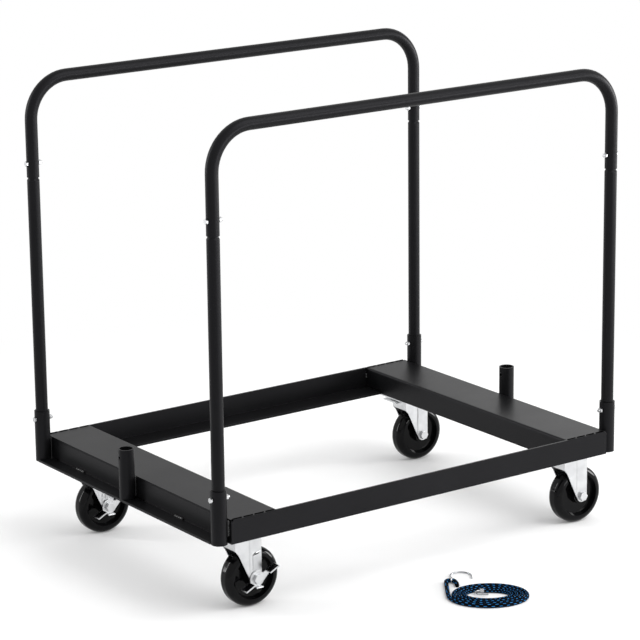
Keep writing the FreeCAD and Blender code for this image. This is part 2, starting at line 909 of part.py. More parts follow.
# Rocker lever: a web round the axle with a pedal folded outward at each end
lever_back = "-lever_face"
web = extruded(
    "lever_web",
    "XZ_Plane",
    [
        ("-web_short", "lever_rise"),
        ("-web_short", "lever_rise - lever_sheet"),
        ("0", "-lever_hub / 2"),
        ("web_long", "lever_rise - web_tip"),
        ("web_long", "lever_rise"),
    ],
    "lever_sheet",
)
put(web, "0", "-lever_face + lever_sheet / 2")
disc = rod("lever_disc", "lever_hub / 2", "lever_sheet", "0", lever_back, "0", "y")
pedals = [
    block(
        f"pedal_{name}",
        "pedal_long",
        "pedal_wide + lever_sheet",
        "lever_sheet",
        start,
        "-lever_face - pedal_wide",
        "lever_rise - lever_sheet",
    )
    for name, start in (("upper", "lever_long - pedal_long"), ("lower", "-lever_short"))
]
lever = cut(
    "lever",
    joined("lever_whole", web, disc, *pedals),
    rod(
        "lever_hole",
        "axle / 2 + running_fit",
        "4 * lever_sheet",
        "0",
        "-lever_face - lever_sheet",
        "0",
        "y",
    ),
)

# Four casters, the two at the left end with the rocker brake
for name, end, side in corners_of_cart:
    place = (end + "caster_x", side + "caster_y")
    braked = end == "-"
    keep(copy_at("caster_plate_" + name, plate, *place))
    keep(copy_at("fork_" + name, fork, *place))
    keep(copy_at("wheel_" + name, wheel, *place))
    keep(copy_at("wheel_bush_" + name, bush, *place))
    keep(copy_at("axle_" + name, brake_axle if braked else plain_axle, *place))
    if braked:
        rocker = copy_at("brake_lever_" + name, lever, f"{place[0]} + trail", place[1], axle_z)
        rocker.Placement.Rotation = FreeCAD.Rotation(FreeCAD.Vector(0, -1, 0), number("lever_tilt"))
        bind(rocker, "Placement.Rotation.Angle", "lever_tilt")
        keep(rocker)
for label, source in (
    ("caster_bolts", bolt_set),
    ("caster_nuts", nut_set),
    ("kingpins", kingpin),
    ("race_rings", race_ring),
    ("race_balls", ball_ring),
):
    copies = [
        copy_at(f"{label}_{n}", source, e + "caster_x", s + "caster_y") for n, e, s in corners_of_cart
    ]
    keep(group(label, *copies))

# Tie-down cord: its end folds round the outer hook, and the rest winds inward in one flat oval


def bulged(start, control, end):
    """The arc between two points whose end tangents meet at control."""
    middle = (start + end) / 2
    half = (end - start).Length / 2
    lift = control - middle
    sagitta = half * math.tan(math.atan(lift.Length / half) / 2)
    return Part.Arc(start, middle + lift.normalize() * sagitta, end)


def biarc(start, start_way, end, end_way):
    """Two tangent arcs from one point and direction to another."""
    across = end - start
    both = start_way + end_way
    spread = 2 * (1 - start_way * end_way)
    reach = (math.sqrt((across * both) ** 2 + spread * (across * across)) - across * both) / spread
    first, last = start + start_way * reach, end - end_way * reach
    joint = (first + last) / 2
    return [bulged(start, first, joint), bulged(joint, last, end)]


def coil_path():
    """The cord's centreline: tail, fold, lead and then quarter turns of an oval that shrinks evenly."""
    cord, lead, fold = number("cord"), number("lead"), number("fold_round")

    def spot(u, v):
        return FreeCAD.Vector(u, v, cord / 2)

    tail_u, fold_u, lead_u = number("tail_u"), number("fold_u"), -number("coil_long")
    bight = spot(fold_u, lead + fold)
    path = [Part.LineSegment(spot(tail_u, lead - number("tail")), spot(tail_u, lead))]
    path.append(bulged(spot(tail_u, lead), spot(tail_u, lead + fold), bight))
    path.append(bulged(bight, spot(lead_u, lead + fold), spot(lead_u, lead)))
    path.append(Part.LineSegment(spot(lead_u, lead), spot(lead_u, 0)))
    place, way = spot(lead_u, 0), FreeCAD.Vector(0, -1, 0)
    for k in range(1, coil_quarters + 1):
        angle = math.radians(180 + 90 * k)
        shrink = k * number("cord_pitch") / 4
        out_u = (number("coil_long") - shrink) * math.cos(angle)
        out_v = (number("coil_short") - shrink) * math.sin(angle)
        next_way = FreeCAD.Vector(-math.sin(angle), math.cos(angle), 0)
        path += biarc(place, way, spot(out_u, out_v), next_way)
        place, way = spot(out_u, out_v), next_way
    path.append(Part.LineSegment(place, place + way * cord))
    return path


def least_gap(wire, thick):
    """The narrowest space between stretches of the cord, measured on points along it."""
    points = wire.discretize(Distance=thick / 4)
    apart = 16
    nearest = min((p - q).Length for i, p in enumerate(points) for q in points[i + apart :])
    return nearest - thick


coil_wire = Part.Wire([piece.toShape() for piece in coil_path()])
cord_radius = number("cord / 2")
start = coil_wire.Edges[0].valueAt(coil_wire.Edges[0].FirstParameter)
section = Part.Wire([Part.makeCircle(cord_radius, start, FreeCAD.Vector(0, 1, 0))])
tube = coil_wire.makePipeShell([section], True, False)
print("cord length", round(coil_wire.Length), "least gap", round(least_gap(coil_wire, 2 * cord_radius), 2))
print("cord volume share", round(tube.Volume / (math.pi * cord_radius**2 * coil_wire.Length), 4))
coil = doc.addObject("Part::Feature", "cord_tube")
coil.Shape = tube

# Outer hook: the wire arches over the cord's fold and then bows on the floor
arch = pipe_along(
    "hook_arch",
    "YZ_Plane",
    [
        ("fold_v - arch", "hook_wire / 2"),
        ("fold_v - arch", "cord / 2"),
        ("fold_v", "cord / 2 + arch", "arch", -1),
        ("fold_v + arch", "cord / 2", "arch", -1),
        ("fold_v + arch + hook_flare", "cord / 2 - hook_flare", "hook_flare", 1),
        ("hook_v", "cord / 2 - hook_flare"),
    ],
    "XY_Plane",
    "hook_wire / 2",
    ("0", "fold_v - arch"),
    ("hook_wire / 2",),
)
bow = pipe_along(
    "hook_bow_wire",
    "XY_Plane",
    [
        ("0", "hook_v"),
        ("0", "hook_v + hook_shank"),
        ("hook_bow", "hook_v + hook_shank + hook_bow", "hook_bow", -1),
        ("2 * hook_bow", "hook_v + hook_shank", "hook_bow", -1),
        ("2 * hook_bow", "hook_v + hook_shank - hook_tip"),
    ],
    "XZ_Plane",
    "-hook_v",
    ("0", "0"),
    ("hook_wire / 2",),
)
put(bow, "0", "0", "cord / 2 - hook_flare")
outer_hook = put(joined("hook_outer", arch, bow), "fold_u")

# Inner hook: a crimped sleeve on the cord's inner end, with the wire bowed inside the coil
sleeve = rod("sleeve_blank", "cord / 2", "sleeve", "-cord", "coil_end", "cord / 2", "-x")
inner_hook = pipe_along(
    "hook_inner",
    "XY_Plane",
    [
        ("-cord - sleeve", "coil_end"),
        ("-cord - sleeve - inner_bow", "coil_end - inner_bow", "inner_bow", 1),
        ("-cord - sleeve", "coil_end - 2 * inner_bow", "inner_bow", 1),
        ("-cord - sleeve + hook_tip", "coil_end - 2 * inner_bow"),
    ],
    "YZ_Plane",
    "-cord - sleeve",
    ("coil_end", "0"),
    ("hook_wire / 2",),
)
put(inner_hook, "0", "0", "cord / 2")
for label, source in (
    ("cord_coil", coil),
    ("cord_hook_outer", outer_hook),
    ("cord_hook_inner", inner_hook),
    ("cord_sleeve", sleeve),
):
    piece = copy_at(label, source, "coil_x", "coil_y")
    piece.Placement.Rotation = FreeCAD.Rotation(FreeCAD.Vector(0, 0, -1), -number("coil_turn"))
    bind(piece, "Placement.Rotation.Angle", "-coil_turn")
    keep(piece)

dims.clear(scratch_cell)
doc.recompute()

# Every object is sound before any file is written
for thing in doc.Objects:
    if "Invalid" in thing.State or "Error" in thing.State:
        raise RuntimeError(f"{thing.Name} failed: {thing.State}")
for node in nodes:
    if node.Shape.isNull() or not node.Shape.isValid() or not node.Shape.Solids:
        raise RuntimeError(f"{node.Label} has no sound solid")

os.makedirs("parts", exist_ok=True)
for node in nodes:
    node.Shape.exportStep(f"parts/{node.Label}.step")
    print(node.Label, len(node.Shape.Solids), round(node.Shape.Volume))
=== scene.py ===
import json
from math import cos, pi, radians, sin

import bpy
from mathutils import Matrix, Vector


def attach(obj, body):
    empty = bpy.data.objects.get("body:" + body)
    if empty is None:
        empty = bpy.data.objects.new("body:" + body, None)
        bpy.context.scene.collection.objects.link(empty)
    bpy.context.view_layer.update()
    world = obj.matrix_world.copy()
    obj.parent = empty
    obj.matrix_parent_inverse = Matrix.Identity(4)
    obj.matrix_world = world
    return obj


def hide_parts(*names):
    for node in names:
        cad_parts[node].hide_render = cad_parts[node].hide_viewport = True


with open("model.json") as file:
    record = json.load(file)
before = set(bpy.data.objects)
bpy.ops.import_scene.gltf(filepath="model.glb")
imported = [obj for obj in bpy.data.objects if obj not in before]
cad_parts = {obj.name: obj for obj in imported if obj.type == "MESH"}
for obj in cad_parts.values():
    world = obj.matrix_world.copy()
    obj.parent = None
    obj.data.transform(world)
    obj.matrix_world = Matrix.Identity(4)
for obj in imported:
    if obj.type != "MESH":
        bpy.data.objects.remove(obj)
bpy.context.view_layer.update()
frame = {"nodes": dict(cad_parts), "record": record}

scene = bpy.context.scene
scene.view_settings.view_transform = "Standard"
nodes = frame["nodes"]
print("frame loaded:", len(nodes), "nodes")


# small helpers

def hexColour(code):
    parts = [int(code[i:i + 2], 16) / 255 for i in (1, 3, 5)]
    return tuple(c / 12.92 if c <= 0.04045 else ((c + 0.055) / 1.055) ** 2.4 for c in parts) + (1.0,)


def addNode(tree, kind, settings=None, links=None):
    node = tree.nodes.new(kind)
    for key, value in (settings or {}).items():
        if key in node.inputs:
            node.inputs[key].default_value = value
        else:
            setattr(node, key, value)
    for key, socket in (links or {}).items():
        tree.links.new(socket, node.inputs[key])
    return node


def newMaterial(name):
    material = bpy.data.materials.new(name)
    material.use_nodes = True
    tree = material.node_tree
    return material, tree, tree.nodes["Principled BSDF"]


def paint(thing, material):
    thing.data.materials.clear()
    thing.data.materials.append(material)


def deselectAll():
    bpy.ops.object.select_all(action="DESELECT")


# camera at the photograph's viewing angle

cameraSetup = {
    "place": (-3.446, -4.841, 2.061),
    "yaw": 35.36,      # degrees, from +Y towards +X
    "pitch": 14.95,    # degrees, downwards
    "roll": -0.64,
    "lens": 160.5,
}


def placeCamera(setup):
    data = bpy.data.cameras.new("camera")
    data.lens = setup["lens"]
    data.clip_end = 60
    camera = bpy.data.objects.new("camera", data)
    scene.collection.objects.link(camera)
    turn = Matrix.Rotation(-radians(setup["yaw"]), 4, "Z")
    tilt = Matrix.Rotation(pi / 2 - radians(setup["pitch"]), 4, "X")
    lean = Matrix.Rotation(radians(setup["roll"]), 4, "Z")
    camera.matrix_world = Matrix.Translation(setup["place"]) @ turn @ tilt @ lean
    scene.camera = camera


placeCamera(cameraSetup)
print("camera placed")


# tie-down cord, one spline through its fold and its oval turns

cordSetup = {
    "diameter": 0.009,
    "length": 1.45,
    "pitch": 0.0108,    # from turn to turn
    "coilLong": 0.084,
    "coilShort": 0.066,
    "quarters": 15,     # quarter turns in the coil
    "foldRound": 0.011,
    "foldCrest": 1.25,  # control points beyond the fold, in fold radii
    "tail": 0.018,      # short strand behind the fold
    "lead": 0.076,      # long strand from the coil to the fold
    "centre": (0.016, -0.55),
    "turn": -35,        # degrees about Z
    "perTurn": 24,      # control points in a turn
}


def cordRoute(setup):
    half, width = setup["coilLong"], 2 * setup["foldRound"]
    lead, tail = setup["lead"], setup["tail"]
    crest = lead + setup["foldCrest"] * setup["foldRound"]
    flat = [(width - half, lead - tail), (width - half, crest), (-half, crest), (-half, crest - width)]
    count = setup["quarters"] * setup["perTurn"] // 4
    for i in range(count + 1):
        angle = pi + 2 * pi * i / setup["perTurn"]
        shrink = setup["pitch"] * i / setup["perTurn"]
        flat.append(((half - shrink) * cos(angle), (setup["coilShort"] - shrink) * sin(angle)))
    flat.append((-setup["diameter"], flat[-1][1]))
    turn = Matrix.Rotation(radians(setup["turn"]), 2)
    spots = []
    for spot in flat:
        u, v = turn @ Vector(spot)
        spots.append((setup["centre"][0] + u, setup["centre"][1] + v, setup["diameter"] / 2))
    return spots


def layCord(setup):
    route = cordRoute(setup)
    data = bpy.data.curves.new("tie_cord", "CURVE")
    data.dimensions = "3D"
    spline = data.splines.new("NURBS")
    spline.points.add(len(route) - 1)
    for point, spot in zip(spline.points, route):
        point.co = (*spot, 1)
        point.radius = setup["diameter"] / 2    # times a bevel of 1, so that the curve's own box fits it
    spline.order_u = 3
    spline.use_endpoint_u = True
    spline.resolution_u = 6
    data.bevel_depth = 1
    data.bevel_resolution = 4
    data.use_fill_caps = True
    cord = bpy.data.objects.new("tie_cord", data)
    scene.collection.objects.link(cord)
    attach(cord, "tie_cord")
    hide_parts("cord_coil")
    return cord


tieCord = layCord(cordSetup)
print("cord laid")


# finishes

def powderCoat():
    # satin black powder coat: a fine pebbled skin that spreads soft grey highlights
    material, tree, skin = newMaterial("satin_black_powder_coat")
    place = addNode(tree, "ShaderNodeTexCoord").outputs["Object"]
    pebble = addNode(tree, "ShaderNodeTexNoise", {"Scale": 900, "Detail": 3},    # about 1 mm
                     {"Vector": place})
    cloud = addNode(tree, "ShaderNodeTexNoise", {"Scale": 9, "Detail": 4},    # about 110 mm
                    {"Vector": place})
    tint = addNode(tree, "ShaderNodeValToRGB", links={"Fac": cloud.outputs["Fac"]})
    tint.color_ramp.elements[0].color = hexColour("#0c0c0d")
    tint.color_ramp.elements[1].color = hexColour("#131314")
    rough = addNode(tree, "ShaderNodeMapRange", {"To Min": 0.32, "To Max": 0.42},
                    {"Value": cloud.outputs["Fac"]})
    # the coat rounds every edge
    edge = addNode(tree, "ShaderNodeBevel", {"Radius": 0.0012, "samples": 4})
    bump = addNode(tree, "ShaderNodeBump", {"Strength": 0.14, "Distance": 0.0004},
                   {"Height": pebble.outputs["Fac"], "Normal": edge.outputs["Normal"]})
    tree.links.new(tint.outputs["Color"], skin.inputs["Base Color"])
    tree.links.new(rough.outputs["Result"], skin.inputs["Roughness"])
    tree.links.new(bump.outputs["Normal"], skin.inputs["Normal"])
    skin.inputs["Specular IOR Level"].default_value = 0.11
    skin.inputs["Specular Tint"].default_value = hexColour("#f7f6ff")    # highlights lean a little to blue
    return material


def weldSheenCoat():
    # powder coat flowed smooth over weld ripples: glossier than the coat, with small sharp glints; its
    # base colour is painted a little lighter than the coat's black, a painted sheen that brightens the
    # beads
    material, tree, skin = newMaterial("powder_coat_over_weld_painted_sheen")
    place = addNode(tree, "ShaderNodeTexCoord").outputs["Object"]
    spatter = addNode(tree, "ShaderNodeTexNoise", {"Scale": 400, "Detail": 2},    # about 2.5 mm
                      {"Vector": place})
    tint = addNode(tree, "ShaderNodeValToRGB", links={"Fac": spatter.outputs["Fac"]})
    # painted sheen: greys lighter than the coat's own black, mottled at random
    tint.color_ramp.elements[0].color = hexColour("#101011")
    tint.color_ramp.elements[1].color = hexColour("#1e1e20")
    bump = addNode(tree, "ShaderNodeBump", {"Strength": 0.2, "Distance": 0.0003},
                   {"Height": spatter.outputs["Fac"]})
    tree.links.new(tint.outputs["Color"], skin.inputs["Base Color"])
    tree.links.new(bump.outputs["Normal"], skin.inputs["Normal"])
    skin.inputs["Roughness"].default_value = 0.2
    return material


def seamShadeCoat():
    # painted shade: a near-black, rough coat without sheen on the beads along the deck seams, standing in
    # for the shadowed gap between deck and rail, so that they read as a dark broken line
    material, tree, skin = newMaterial("rough_black_coat_painted_seam_shade")
    place = addNode(tree, "ShaderNodeTexCoord").outputs["Object"]
    grit = addNode(tree, "ShaderNodeTexNoise", {"Scale": 700, "Detail": 3},    # about 1.4 mm
                   {"Vector": place})
    tint = addNode(tree, "ShaderNodeValToRGB", links={"Fac": grit.outputs["Fac"]})
    tint.color_ramp.elements[0].color = hexColour("#030303")
    tint.color_ramp.elements[1].color = hexColour("#0a0a0b")
    tree.links.new(tint.outputs["Color"], skin.inputs["Base Color"])
    skin.inputs["Roughness"].default_value = 0.85
    skin.inputs["Specular IOR Level"].default_value = 0.02
    return material


def zincPlate():
    # bright zinc plated steel: pale metal with faint cloudy patches and a light grain
    material, tree, skin = newMaterial("bright_zinc_plate")
    place = addNode(tree, "ShaderNodeTexCoord").outputs["Object"]
    cloud = addNode(tree, "ShaderNodeTexNoise", {"Scale": 60, "Detail": 5},    # about 16 mm
                    {"Vector": place})
    grain = addNode(tree, "ShaderNodeTexNoise", {"Scale": 1200, "Detail": 2},    # under 1 mm
                    {"Vector": place})
    tint = addNode(tree, "ShaderNodeValToRGB", links={"Fac": cloud.outputs["Fac"]})
    tint.color_ramp.elements[0].color = hexColour("#b4b5b7")
    tint.color_ramp.elements[1].color = hexColour("#d1d2d3")
    rough = addNode(tree, "ShaderNodeMapRange", {"To Min": 0.24, "To Max": 0.4},
                    {"Value": cloud.outputs["Fac"]})
    # sheared edges are broken slightly
    edge = addNode(tree, "ShaderNodeBevel", {"Radius": 0.0008, "samples": 4})
    bump = addNode(tree, "ShaderNodeBump", {"Strength": 0.06, "Distance": 0.0002},
                   {"Height": grain.outputs["Fac"], "Normal": edge.outputs["Normal"]})
    tree.links.new(tint.outputs["Color"], skin.inputs["Base Color"])
    tree.links.new(rough.outputs["Result"], skin.inputs["Roughness"])
    tree.links.new(bump.outputs["Normal"], skin.inputs["Normal"])
    skin.inputs["Metallic"].default_value = 1
    return material


def wheelPolymer():
    # moulded gloss-black polymer: deep black with crisp highlights and slight flow waviness
    material, tree, skin = newMaterial("gloss_black_polymer")
    place = addNode(tree, "ShaderNodeTexCoord").outputs["Object"]
    flow = addNode(tree, "ShaderNodeTexNoise", {"Scale": 45, "Detail": 2},    # about 22 mm
                   {"Vector": place})
    tint = addNode(tree, "ShaderNodeValToRGB", links={"Fac": flow.outputs["Fac"]})
    tint.color_ramp.elements[0].color = hexColour("#040405")
    tint.color_ramp.elements[1].color = hexColour("#09090a")
    rough = addNode(tree, "ShaderNodeMapRange", {"To Min": 0.07, "To Max": 0.13},
                    {"Value": flow.outputs["Fac"]})
    bump = addNode(tree, "ShaderNodeBump", {"Strength": 0.05, "Distance": 0.001},
                   {"Height": flow.outputs["Fac"]})
    tree.links.new(tint.outputs["Color"], skin.inputs["Base Color"])
    tree.links.new(rough.outputs["Result"], skin.inputs["Roughness"])
    tree.links.new(bump.outputs["Normal"], skin.inputs["Normal"])
    skin.inputs["Specular IOR Level"].default_value = 0.12
    return material


def hookWire():
    # bright nickel plated spring wire with fine drawing lines
    material, tree, skin = newMaterial("nickel_plated_wire")
    place = addNode(tree, "ShaderNodeTexCoord").outputs["Object"]
    drawn = addNode(tree, "ShaderNodeTexNoise", {"Scale": 700, "Detail": 3}, {"Vector": place})
    tint = addNode(tree, "ShaderNodeValToRGB", links={"Fac": drawn.outputs["Fac"]})
    tint.color_ramp.elements[0].color = hexColour("#8f9194")
    tint.color_ramp.elements[1].color = hexColour("#c9cbce")
    bump = addNode(tree, "ShaderNodeBump", {"Strength": 0.08, "Distance": 0.0002},
                   {"Height": drawn.outputs["Fac"]})
    tree.links.new(tint.outputs["Color"], skin.inputs["Base Color"])
    tree.links.new(bump.outputs["Normal"], skin.inputs["Normal"])
    skin.inputs["Metallic"].default_value = 1
    skin.inputs["Roughness"].default_value = 0.18
    return material


braidSetup = {
    "length": cordSetup["length"],
    "fleckStep": 0.0115,    # metres along the cord from fleck to fleck
    "fleckRows": 6,         # rows round the cord
    "brickWide": 0.4,       # size of a cell in the brick texture, one cell to a fleck
    "brickHigh": 0.33,
    "plaitStep": 0.0022,
    "plaitRows": 6,
    "waveScale": 0.31,      # one band of the wave texture to a unit
}


def braidedSleeve(setup):
    # black polyester braid with rows of blue flecks, a plaited relief and a dull textile sheen
    material, tree, skin = newMaterial("black_and_blue_braid")
    unwrap = addNode(tree, "ShaderNodeTexCoord").outputs["UV"]
    along = setup["brickWide"] * setup["length"] / setup["fleckStep"]
    around = setup["brickHigh"] * setup["fleckRows"]
    flecks = addNode(tree, "ShaderNodeMapping", {"Scale": (along, around, 1)}, {"Vector": unwrap})
    brick = addNode(tree, "ShaderNodeTexBrick", {
        "Color1": hexColour("#2472b4"), "Color2": hexColour("#3888c8"), "Mortar": hexColour("#030305"),
        "Scale": 1, "Mortar Size": 0.13, "Mortar Smooth": 0.15,
        "Brick Width": setup["brickWide"], "Row Height": setup["brickHigh"],
    }, {"Vector": flecks.outputs["Vector"]})
    weave = []
    for slant in (1, -1):
        plaits = (setup["length"] / setup["plaitStep"], slant * setup["plaitRows"], 1)
        lean = addNode(tree, "ShaderNodeMapping", {"Scale": plaits}, {"Vector": unwrap})
        bands = {"Scale": setup["waveScale"], "bands_direction": "DIAGONAL"}
        weave.append(addNode(tree, "ShaderNodeTexWave", bands, {"Vector": lean.outputs["Vector"]}))
    plait = addNode(tree, "ShaderNodeMath", {"operation": "MAXIMUM"})
    tree.links.new(weave[0].outputs["Fac"], plait.inputs[0])
    tree.links.new(weave[1].outputs["Fac"], plait.inputs[1])
    bump = addNode(tree, "ShaderNodeBump", {"Strength": 0.5, "Distance": 0.0005},
                   {"Height": plait.outputs["Value"]})
    tree.links.new(brick.outputs["Color"], skin.inputs["Base Color"])
    tree.links.new(bump.outputs["Normal"], skin.inputs["Normal"])
    skin.inputs["Roughness"].default_value = 0.8
    skin.inputs["Specular IOR Level"].default_value = 0.04
    return material


finishOf = {
    "black_powder_coat": powderCoat(),
    "zinc_plate": zincPlate(),
    "black_wheel": wheelPolymer(),
    "bright_wire": hookWire(),
    "cord_braid": braidedSleeve(braidSetup),
}
for part in frame["record"]["subparts"]:
    paint(nodes[part["node"]], finishOf[part["material_slot"]])
paint(tieCord, finishOf["cord_braid"])
print("finishes set")


# weld beads, rows of overlapping ripples laid along the seams

weldSetup = {
    "radius": 0.0028,
    "thin": 0.55,           # a ripple's size along the seam, as a share of its width
    "ripple": 0.0019,       # from ripple to ripple
    "uneven": 0.12,         # ripples differ by this share
    "beat": 2.4,            # radians from ripple to ripple, in the wave of their sizes
    "endFace": 0.4907,      # outer face of the end angles
    "proud": 0.0004,        # ripples stand off the end face
    "socketY": 0.3459,
    "seamY": 0.3602,        # rail and deck meet
    "top": 0.2204,
    "ledge": 0.1742,
    # each kind of seam: where it runs, and the size of its ripples as a share
    "socketInner": {"aside": -0.0062, "out": 0, "span": (0.1745, 0.2175), "share": 1.0},
    "socketOuter": {"aside": 0.01, "out": 0.0014, "span": (0.188, 0.2165), "share": 1.5},
    "centreSocket": {"aside": 0.0068, "span": (0.178, 0.2185), "share": 1.0},
    "flange": {"x": 0.3768, "span": (0.197, 0.206), "share": 1.3},
    # deck seam rows: weld bumps coloured near-black as painted shade of the gap between deck and rail
    "deckStitchShade": {
        "count": 4, "start": 0.384, "step": 0.0265, "long": 0.021, "out": 0.0006, "share": 0.6},
    "ledgeStitch": {
        "spans": ((0.202, 0.230), (-0.187, -0.161)), "out": 0.0008, "up": 0.0006, "share": 1.5},
}


def uprightSeam(x, y, seam):
    low, high = seam["span"]
    return (x, y, low), (x, y, high), seam["share"]


def seamLines(setup):
    beads, seams = [], []
    stitchShade, ledge = setup["deckStitchShade"], setup["ledgeStitch"]
    for sx in (-1, 1):
        face = sx * (setup["endFace"] + setup["proud"])
        for sy in (-1, 1):
            for seam in (setup["socketInner"], setup["socketOuter"]):
                y = sy * (setup["socketY"] + seam["aside"])
                beads.append(uprightSeam(face + sx * seam["out"], y, seam))
            # these rows carry painted shade: they stand in for the shadowed gap along the deck seam
            y = sy * (setup["seamY"] + stitchShade["out"])
            for i in range(stitchShade["count"]):
                start = stitchShade["start"] + stitchShade["step"] * i
                end = start + stitchShade["long"]
                seams.append(((sx * start, y, setup["top"]), (sx * end, y, setup["top"]), stitchShade["share"]))
            beads.append(uprightSeam(sx * setup["flange"]["x"], sy * setup["seamY"], setup["flange"]))
        for side in (-1, 1):
            beads.append(uprightSeam(face, side * setup["centreSocket"]["aside"], setup["centreSocket"]))
        x, z = sx * (setup["endFace"] + ledge["out"]), setup["ledge"] + ledge["up"]
        for low, high in ledge["spans"]:
            beads.append(((x, low, z), (x, high, z), ledge["share"]))
    return {"weld_beads": beads, "seam_welds_painted_shade": seams}


def modelRipple(setup):
    deselectAll()
    bpy.ops.mesh.primitive_uv_sphere_add(segments=10, ring_count=6, radius=setup["radius"])
    bpy.ops.object.mode_set(mode="EDIT")
    bpy.ops.mesh.select_all(action="SELECT")
    bpy.ops.transform.resize(value=(1, 1, setup["thin"]))
    bpy.ops.object.mode_set(mode="OBJECT")
    return bpy.context.object


def layRipples(setup, ripple, lines):
    row = []
    for low, high, share in lines:
        low, high = Vector(low), Vector(high)
        run = high - low
        count = max(2, round(run.length / (setup["ripple"] * share)))
        face = run.to_track_quat("Z", "Y").to_matrix().to_4x4()
        for i in range(count + 1):
            swell = share * (1 + setup["uneven"] * sin(setup["beat"] * i))
            mesh = ripple.data.copy()
            mesh.transform(Matrix.Translation(low + run * i / count) @ face @ Matrix.Scale(swell, 4))
            thing = bpy.data.objects.new("ripple", mesh)
            scene.collection.objects.link(thing)
            row.append(thing)
    return row


def layWelds(setup):
    ripple = modelRipple(setup)
    # the deck seam rows take a painted shade coat, the other beads a coat with a painted sheen
    finishes = {"weld_beads": weldSheenCoat(), "seam_welds_painted_shade": seamShadeCoat()}
    for name, lines in seamLines(setup).items():
        row = layRipples(setup, ripple, lines)
        deselectAll()
        for thing in row:
            thing.select_set(True)
        bpy.context.view_layer.objects.active = row[0]
        bpy.ops.object.join()
        welds = bpy.context.object
        welds.name = name
        bpy.ops.object.shade_smooth()
        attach(welds, "frame")
        paint(welds, finishes[name])
        print(name, "laid:", len(row), "ripples")
    bpy.data.objects.remove(ripple)


layWelds(weldSetup)


# brake trim: ribbed treads on the pedals, a lip under the hub and a leaf on the fork's leg

brakeSetup = {
    "axle": (-0.3984, 0.2868, 0.0635),      # front one at -Y
    "tilt": 27,
    "treadLong": 0.021,
    "treadWide": 0.0145,
    "treadThick": 0.001,
    "ribHigh": 0.0007,
    "strips": 9,                            # ribs and grooves across a tread
    "treadEdge": 0.0002,
    "treads": (0.037, -0.0295),             # along the lever from the axle
    "pedalTop": 0.003,
    "pedalOut": -0.0387,
    "lipLow": (-0.007, -0.0365, -0.0175),   # corners from the axle
    "lipHigh": (0.010, -0.0298, -0.0152),
    "lipFold": (0, -0.0012, -0.0012),
    "lipEdge": 0.0006,
    "leafThick": 0.0012,
    "leafFace": -0.0265,                    # outer face of the fork's leg
    "leafAcross": (-0.008, 0.013),
    "leafUp": (0.0185, 0.050),
    "leafSteps": ((0.003, 0.003), (0.005, 0.0032), (0.0085, 0.002)),    # narrower and higher, in turn
    "leafEdge": 0.0004,
}


def pickFaces(thing, wanted):
    bpy.ops.object.mode_set(mode="EDIT")
    bpy.ops.mesh.select_mode(type="FACE")
    bpy.ops.mesh.select_all(action="DESELECT")
    bpy.ops.object.mode_set(mode="OBJECT")
    for face in thing.data.polygons:
        face.select = wanted(face)
    bpy.ops.object.mode_set(mode="EDIT")


def startBlock(name, low, high):
    deselectAll()
    middle = [(a + b) / 2 for a, b in zip(low, high)]
    bpy.ops.mesh.primitive_cube_add(size=1, location=middle, scale=[b - a for a, b in zip(low, high)])
    bpy.ops.object.transform_apply(location=True, rotation=True, scale=True)
    thing = bpy.context.object
    thing.name = name
    return thing


def softenEdges(thing, width):
    bpy.ops.object.mode_set(mode="OBJECT")
    bevel = thing.modifiers.new("soft", "BEVEL")
    bevel.width = width
    bevel.segments = 3
    bevel.limit_method = "ANGLE"
    bpy.ops.object.modifier_apply(modifier="soft")
    bpy.ops.object.shade_smooth_by_angle(angle=radians(40))


def modelTread(setup, along):
    half, side = setup["treadLong"] / 2, setup["treadWide"] / 2
    base, out = setup["pedalTop"], setup["pedalOut"]
    low = (along - half, out - side, base)
    high = (along + half, out + side, base + setup["treadThick"])
    tread = startBlock("tread", low, high)
    step = setup["treadLong"] / setup["strips"]
    for i in range(1, setup["strips"]):
        bpy.ops.object.mode_set(mode="EDIT")
        bpy.ops.mesh.select_all(action="SELECT")
        bpy.ops.mesh.bisect(plane_co=(low[0] + step * i, 0, 0), plane_no=(1, 0, 0))
    bpy.ops.object.mode_set(mode="OBJECT")
    pickFaces(tread, lambda f: f.normal.z > 0.9 and int((f.center.x - low[0]) / step) % 2 == 0)
    bpy.ops.mesh.extrude_region_move(TRANSFORM_OT_translate={"value": (0, 0, setup["ribHigh"])})
    softenEdges(tread, setup["treadEdge"])
    return tread


def modelLip(setup):
    lip = startBlock("lip", setup["lipLow"], setup["lipHigh"])
    pickFaces(lip, lambda f: f.normal.y < -0.9)
    bpy.ops.mesh.extrude_region_move(TRANSFORM_OT_translate={"value": setup["lipFold"]})
    softenEdges(lip, setup["lipEdge"])
    return lip


def modelLeaf(setup):
    face = setup["leafFace"]
    (left, right), (foot, top) = setup["leafAcross"], setup["leafUp"]
    leaf = startBlock("leaf", (left, face - setup["leafThick"], foot), (right, face, top))
    for narrower, rise in setup["leafSteps"]:
        pickFaces(leaf, lambda f: f.normal.z > 0.7)
        brink = top - setup["leafEdge"] / 2     # the vertices above it are on the top edge
        width = right - min(v.co.x for v in leaf.data.vertices if v.co.z > brink)
        top += rise
        bpy.ops.mesh.extrude_region_move(TRANSFORM_OT_translate={"value": (0, 0, rise)})
        bpy.ops.transform.resize(value=(1 - narrower / width, 1, 1), center_override=(right, face, top))
        bpy.ops.object.mode_set(mode="OBJECT")
    softenEdges(leaf, setup["leafEdge"])
    return leaf


def copyOnto(thing, name, place, body, slot):
    mesh = thing.data.copy()
    mesh.transform(place)
    copy = bpy.data.objects.new(name, mesh)
    scene.collection.objects.link(copy)
    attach(copy, body)
    paint(copy, finishOf[slot])


